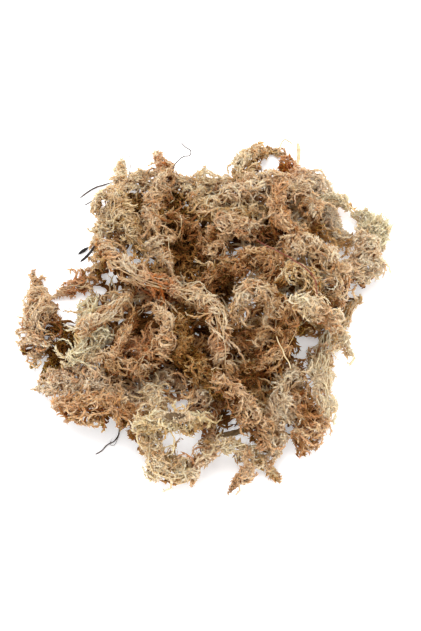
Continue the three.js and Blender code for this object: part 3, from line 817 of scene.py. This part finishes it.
def fallen_branches(heap, rng):
    """Branches on the ground between the shoots: short courses that bend in plan, one from each
    square of a grid, whose heights ripple. Those in FILLED places are leafy, the rest bare."""
    low, high = heap.middle[:, :2].min(0), heap.middle[:, :2].max(0)
    columns, rows = (np.arange(low[axis], high[axis], FALLEN_GRID) for axis in (0, 1))
    start = np.stack(np.meshgrid(columns, rows, indexing="ij"), -1).reshape(-1, 2)
    tried = len(start)
    start = start + rng.uniform(0, FALLEN_GRID, (tried, 2))
    heading = rng.uniform(0, TURN, (tried, 1))
    wind = rng.uniform(-2.5, 2.5, (tried, 1))
    step = rng.uniform(1.0, 1.9, (tried, 1))
    plan = walk(start, heading + wind * LEAFY_PLACES, step)
    height = rng.uniform(0.3, 4.0, (tried, 1)) + 0.8 * np.sin(TURN * LEAFY_PLACES + heading)
    paths = np.concatenate([plan, height[..., None]], 2)
    leafy = within_places(paths, FILLED)
    sunk = leafy | within_places(paths, PAINTED_SHADE_HOLLOWS)
    enclosed = heap.surrounds(paths[:, 0], FALLEN_REACH) & heap.surrounds(paths[:, -1], FALLEN_REACH)
    most = np.where(sunk, FALLEN_BESIDE, 0.0)[:, None]
    kept = within_heap(paths, heap, most) & (enclosed | sunk)
    paths, leafy = paths[kept], leafy[kept]
    paths[leafy, :, 2] += rng.uniform(0, 6, (leafy.sum(), 1))
    under = heap.hollow(paths)
    # Painted shade: darker under the heap's level and in hollows.
    tone = FALLEN_TONE - FALLEN_UNDER_PAINTED_SHADE * np.clip(under, 0, UNDER_RANGE[1])
    tone = tone + rng.normal(0, 0.06, (len(paths), 1))
    tone = painted_hollow_shade(tone + FILLED_SHIFT * leafy[:, None], paths, under)
    paths = paths + rng.normal(0, CRINKLE, paths.shape)
    growth = Growth(len(paths))
    clothe(growth, paths, tone, spots_of_rust(paths), ~leafy, 0.5, rng, FALLEN_RADIUS)
    return growth


# ---- stalks, twig and bark
def stalk_growth(line, rng, thin, stain):
    """A dry stalk: thinner than its solid, kinked by up to STALK_BEND at every STALK_STEP, and
    thicker at its joints."""
    growth = Growth()
    points = max(4, int(line.length / STALK_STEP) + 1)
    path = line.value("middle", np.linspace(0, line.length, points))
    path[1:-1] += rng.uniform(-STALK_BEND, STALK_BEND, (points - 2, 3))
    path[:, 2] = np.maximum(path[:, 2], 0.4)
    path = smooth_line(path, 4)[None]
    t = np.linspace(0, 1, path.shape[1])
    joints = np.maximum(0, np.cos(TURN * t * line.length / 7)) ** 6
    radius = np.maximum(np.interp(t * line.length, line.at, line.radius), 0.35)
    radius = thin * radius * (1 + 0.22 * joints)
    tone = 0.4 + 0.25 * np.sin(9 * t)[None] ** 2 + rng.normal(0, 0.08, (1, len(t)))
    growth.add_tubes(path, radius[None], STEM_SIDES, tone, stain)
    return growth


def add_pressed(growth, path, radius, flat, sides, uneven, tone, bare_wood):
    """Adds a tube pressed flat by a share, up and down, and uneven by shares of its own."""
    turn = TURN * np.arange(sides) / sides
    press = np.sqrt(np.cos(turn) ** 2 + (flat * np.sin(turn)) ** 2)
    radii = radius[:, None] * (1 + uneven) * press
    forward = unit(np.gradient(path, axis=0))
    side = unit(np.cross(forward, UPWARDS))
    frames = [part[None] for part in (forward, side, np.cross(forward, side))]
    growth.add_tubes(path[None], radii[None], sides, tone, bare_wood, frames)


def bark_growth(line, rng, flat, ridges, bare_wood, slim):
    """A twig or a bit of bark: uneven rings, with ridges that wind slowly along them."""
    growth = Growth()
    points = max(8, int(line.length / 0.8))
    s = np.linspace(0, 1, points) * line.length
    turn = TURN * np.arange(BARK_SIDES) / BARK_SIDES
    uneven = rng.normal(0, 0.07, (points, BARK_SIDES)) + 0.1 * np.cos(ridges * turn + 0.25 * s[:, None])
    tone = 0.6 + 0.12 * rng.normal(0, 1, (1, points))
    radius = slim * line.value("radius", s)
    add_pressed(growth, line.value("middle", s), radius, flat, BARK_SIDES, uneven, tone, bare_wood)
    return growth


def sliver_growth(rng):
    """A charred sliver shaped like an almond: widest in the middle, flat, pointed at both ends."""
    growth = Growth()
    t = np.linspace(0, 1, 13)
    path = np.array(SLIVER_START) + t[:, None] * (np.array(SLIVER_END) - np.array(SLIVER_START))
    radius = 0.12 + 0.5 * SLIVER_WIDTH * np.sin(np.pi * t) ** 0.8
    uneven = rng.normal(0, 0.06, (len(t), SLIVER_SIDES))
    add_pressed(growth, path, radius, 0.45, SLIVER_SIDES, uneven, 0.3, 0.0)
    return growth


def thread_growth(thickness, places):
    """A hair or thin stalk: a round tube along a smooth curve, thinner at both ends."""
    growth = Growth()
    path = smooth_line(np.array(places), 8)[None]
    t = np.linspace(0, 1, path.shape[1])
    radius = 0.5 * thickness * np.minimum(1, 0.5 + 3 * np.minimum(t, 1 - t))
    growth.add_tubes(path, radius[None], THREAD_SIDES, 0.45 + 0.15 * np.sin(11 * t)[None], 0.0)
    return growth


# ---- finishes
PATCH_SIZE = 9.0  # of the places where moss has bleached more or less
PATCH_SHIFT = 0.34  # how far they shift the tone, from darkest to palest
RUST_STAIN = "dc9c6c"
LEAF_GRAIN = 0.4  # drawn coarser than the cells of a leaf, which are too fine to see
GLOW_DEPTH = 1.6  # how far light goes into the leaves
CRACK_SIZE = 1.6
MIXED = {"data_type": "RGBA"}
MULTIPLIED = {"data_type": "RGBA", "blend_type": "MULTIPLY"}
WHITE = (1, 1, 1, 1)


def linear(code):
    """Linear colour of an sRGB hex code: the sRGB curve undone on each channel."""
    values = [int(code[k:k + 2], 16) / 255 for k in (0, 2, 4)]
    return [v / 12.92 if v <= 0.04045 else ((v + 0.055) / 1.055) ** 2.4 for v in values] + [1.0]


def feed(tree, fed, **inputs):
    """Fills a node's inputs: a socket is linked, a value is set. Input names have underscores for
    spaces, and an input's number has one in front."""
    for key, value in inputs.items():
        socket = fed.inputs[int(key[1:]) if key[0] == "_" else key.replace("_", " ")]
        if isinstance(value, bpy.types.NodeSocket):
            tree.links.new(value, socket)
        else:
            socket.default_value = value
    return fed


def node(tree, kind, settings=None, **inputs):
    """Adds a node, sets its properties and fills its inputs."""
    made = tree.nodes.new(kind)
    for key, value in (settings or {}).items():
        setattr(made, key, value)
    return feed(tree, made, **inputs)


def new_material(name):
    """A new material, its nodes and its shader."""
    material = bpy.data.materials.new(name)
    material.use_nodes = True
    return material, material.node_tree, material.node_tree.nodes["Principled BSDF"]


def plant_material(name):
    """A new material's parts, the place on the object, and the piece's layers, tone and rust."""
    material, tree, shader = new_material(name)
    spot = node(tree, "ShaderNodeTexCoord").outputs["Object"]
    tone, rust = (node(tree, "ShaderNodeAttribute", {"attribute_name": layer}).outputs["Fac"]
                  for layer in ("tone", "rust"))
    return material, tree, shader, spot, tone, rust


def toned(tree, tone, stops, shift=0.0):
    """Colour picked by the tone, plus a shift, from evenly spaced stops."""
    mixed = node(tree, "ShaderNodeMath", {"operation": "ADD", "use_clamp": True}, _0=tone, _1=shift)
    ramp = node(tree, "ShaderNodeValToRGB", Fac=mixed.outputs[0])
    elements = ramp.color_ramp.elements
    while len(elements) < len(stops):
        elements.new(0.5)
    for element, place, code in zip(elements, np.linspace(0, 1, len(stops)), stops):
        element.position = place
        element.color = linear(code)
    return ramp.outputs["Color"]


def per_metre(size):
    """Scale of a pattern whose features are this many millimetres across."""
    return 1 / (size * MM)


def relief(tree, spot, size, height):
    """Fine unevenness, its features so many millimetres across, and so many metres high."""
    grain = node(tree, "ShaderNodeTexNoise", Vector=spot, Scale=per_metre(size), Detail=1.0)
    bump = node(tree, "ShaderNodeBump", Strength=0.35, Distance=height, Height=grain.outputs["Fac"])
    return bump.outputs["Normal"]


def air_dried_moss(name, stops):
    """Air-dried sphagnum leaf: papery, dull cellulose whose colour runs from the brown foot of a
    branch to its bleached tip. The tone picks the colour, and also carries painted shade and light;
    patches shift it, and rust stains it. Light goes through the leaves, so thin tips glow."""
    material, tree, shader, spot, tone, rust = plant_material("air_dried_" + name)
    patches = node(tree, "ShaderNodeTexNoise", Vector=spot, Scale=per_metre(PATCH_SIZE), Detail=3.0)
    shift = node(tree, "ShaderNodeMath", {"operation": "MULTIPLY_ADD"}, _0=patches.outputs["Fac"],
                 _1=PATCH_SHIFT, _2=-0.5 * PATCH_SHIFT)
    rusty = node(tree, "ShaderNodeMix", MULTIPLIED, _0=rust,
                 _6=toned(tree, tone, stops, shift.outputs[0]), _7=linear(RUST_STAIN))
    feed(tree, shader, Base_Color=rusty.outputs[2], Roughness=0.75, IOR=1.45, Specular_IOR_Level=0.12,
         Normal=relief(tree, spot, LEAF_GRAIN, 0.0002), Subsurface_Weight=0.7,
         Subsurface_Radius=(1.0, 0.8, 0.6), Subsurface_Scale=GLOW_DEPTH * MM)
    return material


def air_dried_stalk(name, stops, stain):
    """A dry stalk's waxy skin, shrunk as it dried in air: a soft shine along it and fine uneven
    rings. The tone picks the brown, and the rust mixes in the stain."""
    material, tree, shader, spot, tone, rust = plant_material("air_dried_" + name)
    stained = node(tree, "ShaderNodeMix", MIXED, _0=rust, _6=toned(tree, tone, stops), _7=linear(stain))
    feed(tree, shader, Base_Color=stained.outputs[2], Roughness=0.5, IOR=1.45,
         Normal=relief(tree, spot, 0.8, 0.0001))
    return material


def weathered_bark(name, stops, stain):
    """Weathered bark: dull and cracked, so it shows broken dark lines over a grey brown. The tone
    picks the brown, cracks darken it, and the rust mixes in the bare wood."""
    material, tree, shader, spot, tone, rust = plant_material("weathered_" + name)
    wood = node(tree, "ShaderNodeMix", MIXED, _0=rust, _6=toned(tree, tone, stops), _7=linear(stain))
    cracks = node(tree, "ShaderNodeTexNoise", Vector=spot, Scale=per_metre(CRACK_SIZE), Detail=3.0)
    dark = node(tree, "ShaderNodeMapRange", _0=cracks.outputs["Fac"], _1=0.35, _2=0.6, _3=0.55, _4=1.0)
    cracked = node(tree, "ShaderNodeMix", MULTIPLIED, _0=1.0, _6=wood.outputs[2], _7=dark.outputs[0])
    feed(tree, shader, Base_Color=cracked.outputs[2], Roughness=0.85, IOR=1.5,
         Normal=relief(tree, spot, 1.0, 0.0003))
    return material


# Colours of each kind of moss, from old and brown to bleached
MOSS = {
    "pale_straw_moss": ("5a320e", "88562e", "bc8f5f", "d2b088", "ddc7a4"),
    "golden_moss": ("58320e", "885a2c", "be945c", "d2b286", "ddc8a2"),
    "pink_brown_moss": ("5a3310", "86552f", "ba8e62", "d2ae86", "dcc4a2"),
    "rust_moss": ("582a0a", "844f26", "b4814e", "cca074", "d9bd94"),
    "dark_brown_moss": ("54300e", "885828", "b07e46", "d0a672", "e4c498"),
    "green_head_moss": ("5c3c10", "906a32", "be9a62", "d2b484", "decea6"),
}
materials = {name: air_dried_moss(name, stops) for name, stops in MOSS.items()}
materials["wiry_stalk"] = air_dried_stalk("wiry_stalk", ("1c120c", "3c2820", "5a4436"), "7a2c18")
materials["straw_stalk"] = air_dried_stalk("straw_stalk", ("9a8058", "cdb68a", "e8d8b6"), "b08a58")
materials["twig_bark"] = weathered_bark("twig_bark", ("2c1e0e", "563e24", "78603c"), "84683e")
materials["charred_bark"] = weathered_bark("charred_bark", ("080505", "181010", "30241f"), "3c2c24")


# ---- build
def placed(growth, name, slot):
    """The growth made a piece that rides on the part's body and fills a material slot."""
    piece = growth.make(name, materials[slot])
    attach(piece, BODY)
    return piece


def grown(name, slot, line, heap, rng):
    """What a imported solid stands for: a bit of bark, a stalk or a shoot."""
    if slot in BARK_SLOTS:
        return bark_growth(line, rng, *BARK_LOOK[name])
    if slot in STALK_SLOTS:
        return stalk_growth(line, rng, *STALK_LOOK.get(name, PLAIN_STALK))
    habit = "mat" if name.startswith("base_") else HABIT_OF.get(name, "loose")
    growth = shoot_piece(line, heap, HABITS[habit], rng, SHADES[SHADE_OF.get(name, "plain")])
    if name == "headed_shoot":
        head(growth, line, rng)
    return growth


slots = {part["node"]: part["material_slot"] for part in frame["record"]["subparts"]}
names = sorted(slots)
lines = {name: Line(name) for name in names}
heap = Heap([lines[name] for name in names if slots[name] not in STALK_SLOTS + BARK_SLOTS])

for number, name in enumerate(names):
    rng = np.random.default_rng(FIRST_SEED + number)
    piece = placed(grown(name, slots[name], lines[name], heap, rng), name + "_grown", slots[name])
    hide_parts(name)

bed = bark_bed(lines["bark_flake"], np.random.default_rng(BED_SEED))
placed(bed, "flake_bed", "pale_straw_moss")
litter = fallen_branches(heap, np.random.default_rng(FALLEN_SEED))
placed(litter, "fallen_branches", "dark_brown_moss")
for name, (slot, thickness, places) in THREADS.items():
    placed(thread_growth(thickness, places), name, slot)
placed(sliver_growth(np.random.default_rng(SLIVER_SEED)), "upper_splinter", "charred_bark")


# ---- floor, light and camera
def floor():
    """A plain white card that glows faintly, so that shadows on it stay soft."""
    bpy.ops.mesh.primitive_plane_add(size=6.0, location=(0, 0, -0.0002))
    plane = bpy.context.object
    plane.name = "pale_floor"
    material, tree, shader = new_material("white_card")
    feed(tree, shader, Base_Color=linear("f6f6f6"), Roughness=0.9, Emission_Color=WHITE,
         Emission_Strength=0.3)
    plane.data.materials.append(material)


def softbox(name, place, aim, size, power):
    """A round soft light that faces what it is aimed at, in metres and watts."""
    light = bpy.data.lights.new(name, "AREA")
    light.shape = "DISK"
    light.size = size
    light.energy = power
    lamp = added(name, light)
    lamp.location = place
    lamp.rotation_euler = (Vector(aim) - Vector(place)).to_track_quat("-Z", "Y").to_euler()


def studio(strength):
    """Plain white light from all sides, and colours shown as they are."""
    world = bpy.data.worlds.new("studio")
    world.use_nodes = True
    feed(world.node_tree, world.node_tree.nodes["Background"], Color=WHITE, Strength=strength)
    bpy.context.scene.world = world
    bpy.context.scene.view_settings.view_transform = "Standard"


def camera(aim, distance, elevation, lens):
    """A camera south of the clump that looks down on it."""
    optics = bpy.data.cameras.new("camera")
    optics.lens = lens
    optics.sensor_width = 36.0
    optics.clip_start, optics.clip_end = 0.05, 20
    eye = added("camera", optics)
    eye.location = aim + distance * np.array([0, -math.cos(elevation), math.sin(elevation)])
    eye.rotation_euler = (math.pi / 2 - elevation, 0, 0)
    bpy.context.scene.camera = eye


floor()
softbox("overhead", place=(-0.15, 0.3, 1.6), aim=(0, 0, 0), size=1.2, power=15.0)
studio(strength=1.35)
camera(np.array([0.0013, -0.0114, 0.02105]), distance=0.95, elevation=math.radians(65), lens=98.5)
